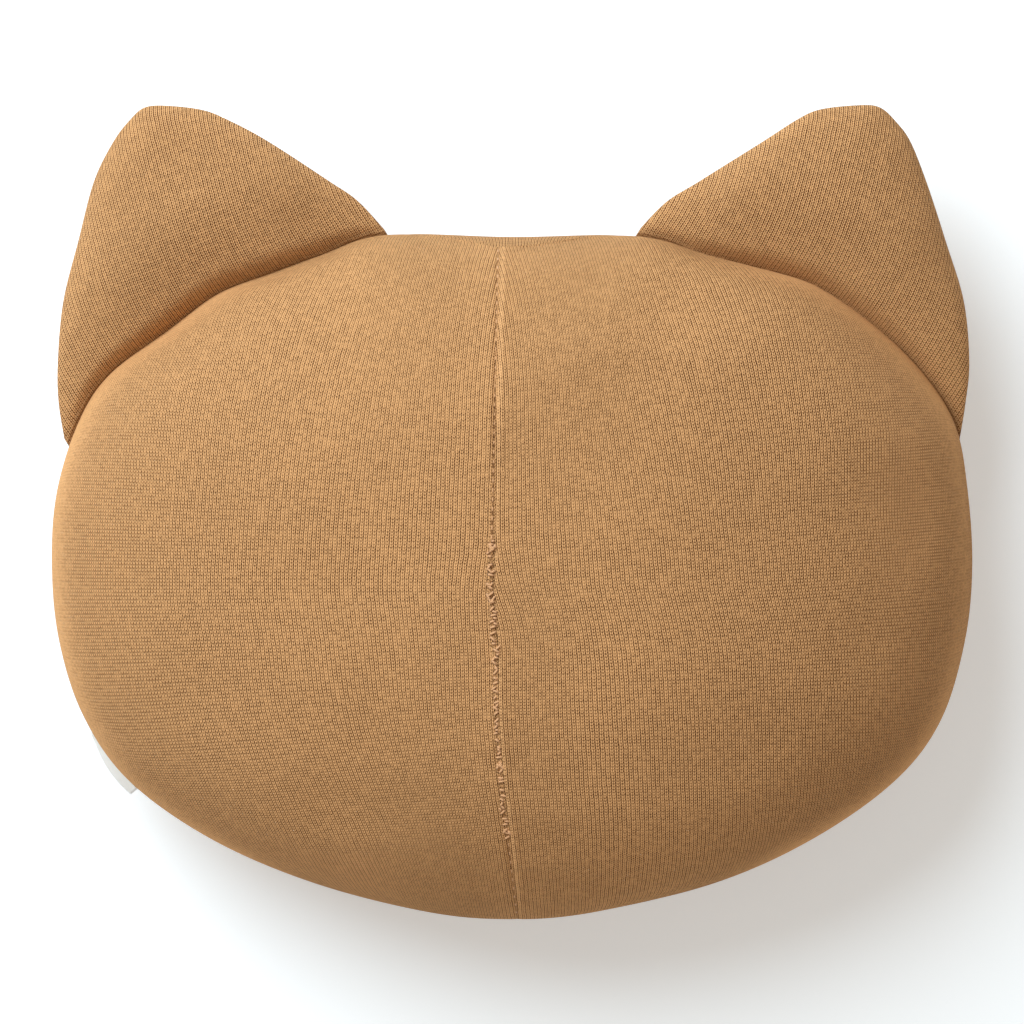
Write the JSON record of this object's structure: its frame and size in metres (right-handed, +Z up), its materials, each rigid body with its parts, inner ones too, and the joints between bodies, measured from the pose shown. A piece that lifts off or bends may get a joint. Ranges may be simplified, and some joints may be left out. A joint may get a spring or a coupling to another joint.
{
  "type": "plush cat head cushion",
  "caption": "Stuffed plush cat head in fine knit with two padded ears, a centre-seamed back, a sewn face and a folded side label.",
  "frame": {"origin": "on the surface that the head lies on, at the middle of its length and width", "axes": "+Z up through the back of the head, which lies on its face; +Y from the chin to the ears; +X across the head, to the right seen from behind"},
  "size_m": [0.3796, 0.3354, 0.14],
  "materials": {
    "knit_fabric": "matt fine jersey knit in warm tan",
    "polyester_filling": "loose white fibre",
    "sewing_thread": "matt tan thread",
    "dark_embroidery": "satin stitch in dark brown floss",
    "rose_embroidery": "satin stitch in dusty rose floss",
    "white_ribbon": "woven satin ribbon"
  },
  "bodies": {
    "head": {"back_panel_left": "knit_fabric", "back_panel_right": "knit_fabric", "face_panel": "knit_fabric", "head_filling": "polyester_filling", "centre_seam_thread_upper": "sewing_thread", "closing_stitch_thread": "sewing_thread", "centre_seam_thread_lower": "sewing_thread", "rim_seam_thread": "sewing_thread", "left_eye": "dark_embroidery", "right_eye": "dark_embroidery", "nose": "rose_embroidery", "mouth": "dark_embroidery"},
    "left_ear": {"left_ear_back_panel": "knit_fabric", "left_ear_face_panel": "knit_fabric", "left_ear_filling": "polyester_filling", "left_ear_seam_thread": "sewing_thread"},
    "right_ear": {"right_ear_back_panel": "knit_fabric", "right_ear_face_panel": "knit_fabric", "right_ear_filling": "polyester_filling", "right_ear_seam_thread": "sewing_thread"},
    "label": {"side_label": "white_ribbon"}
  },
  "joints": [
    {"name": "left_ear_fold", "type": "hinge", "parent": "head", "child": "left_ear", "pos_m": [-0.12439, 0.08307, 0.066], "axis": [0.846, 0.5332, 0], "range_deg": [-30, 30], "stiffness_Nm_per_rad": 0.8},
    {"name": "right_ear_fold", "type": "hinge", "parent": "head", "child": "right_ear", "pos_m": [0.12439, 0.08307, 0.066], "axis": [0.846, -0.5332, 0], "range_deg": [-30, 30], "stiffness_Nm_per_rad": 0.8},
    {"name": "label_flip", "type": "hinge", "parent": "head", "child": "label", "pos_m": [-0.16551, -0.10398, 0.062], "axis": [-0.6454, 0.7638, 0], "range_deg": [0, 110], "stiffness_Nm_per_rad": 0.004}
  ]
}
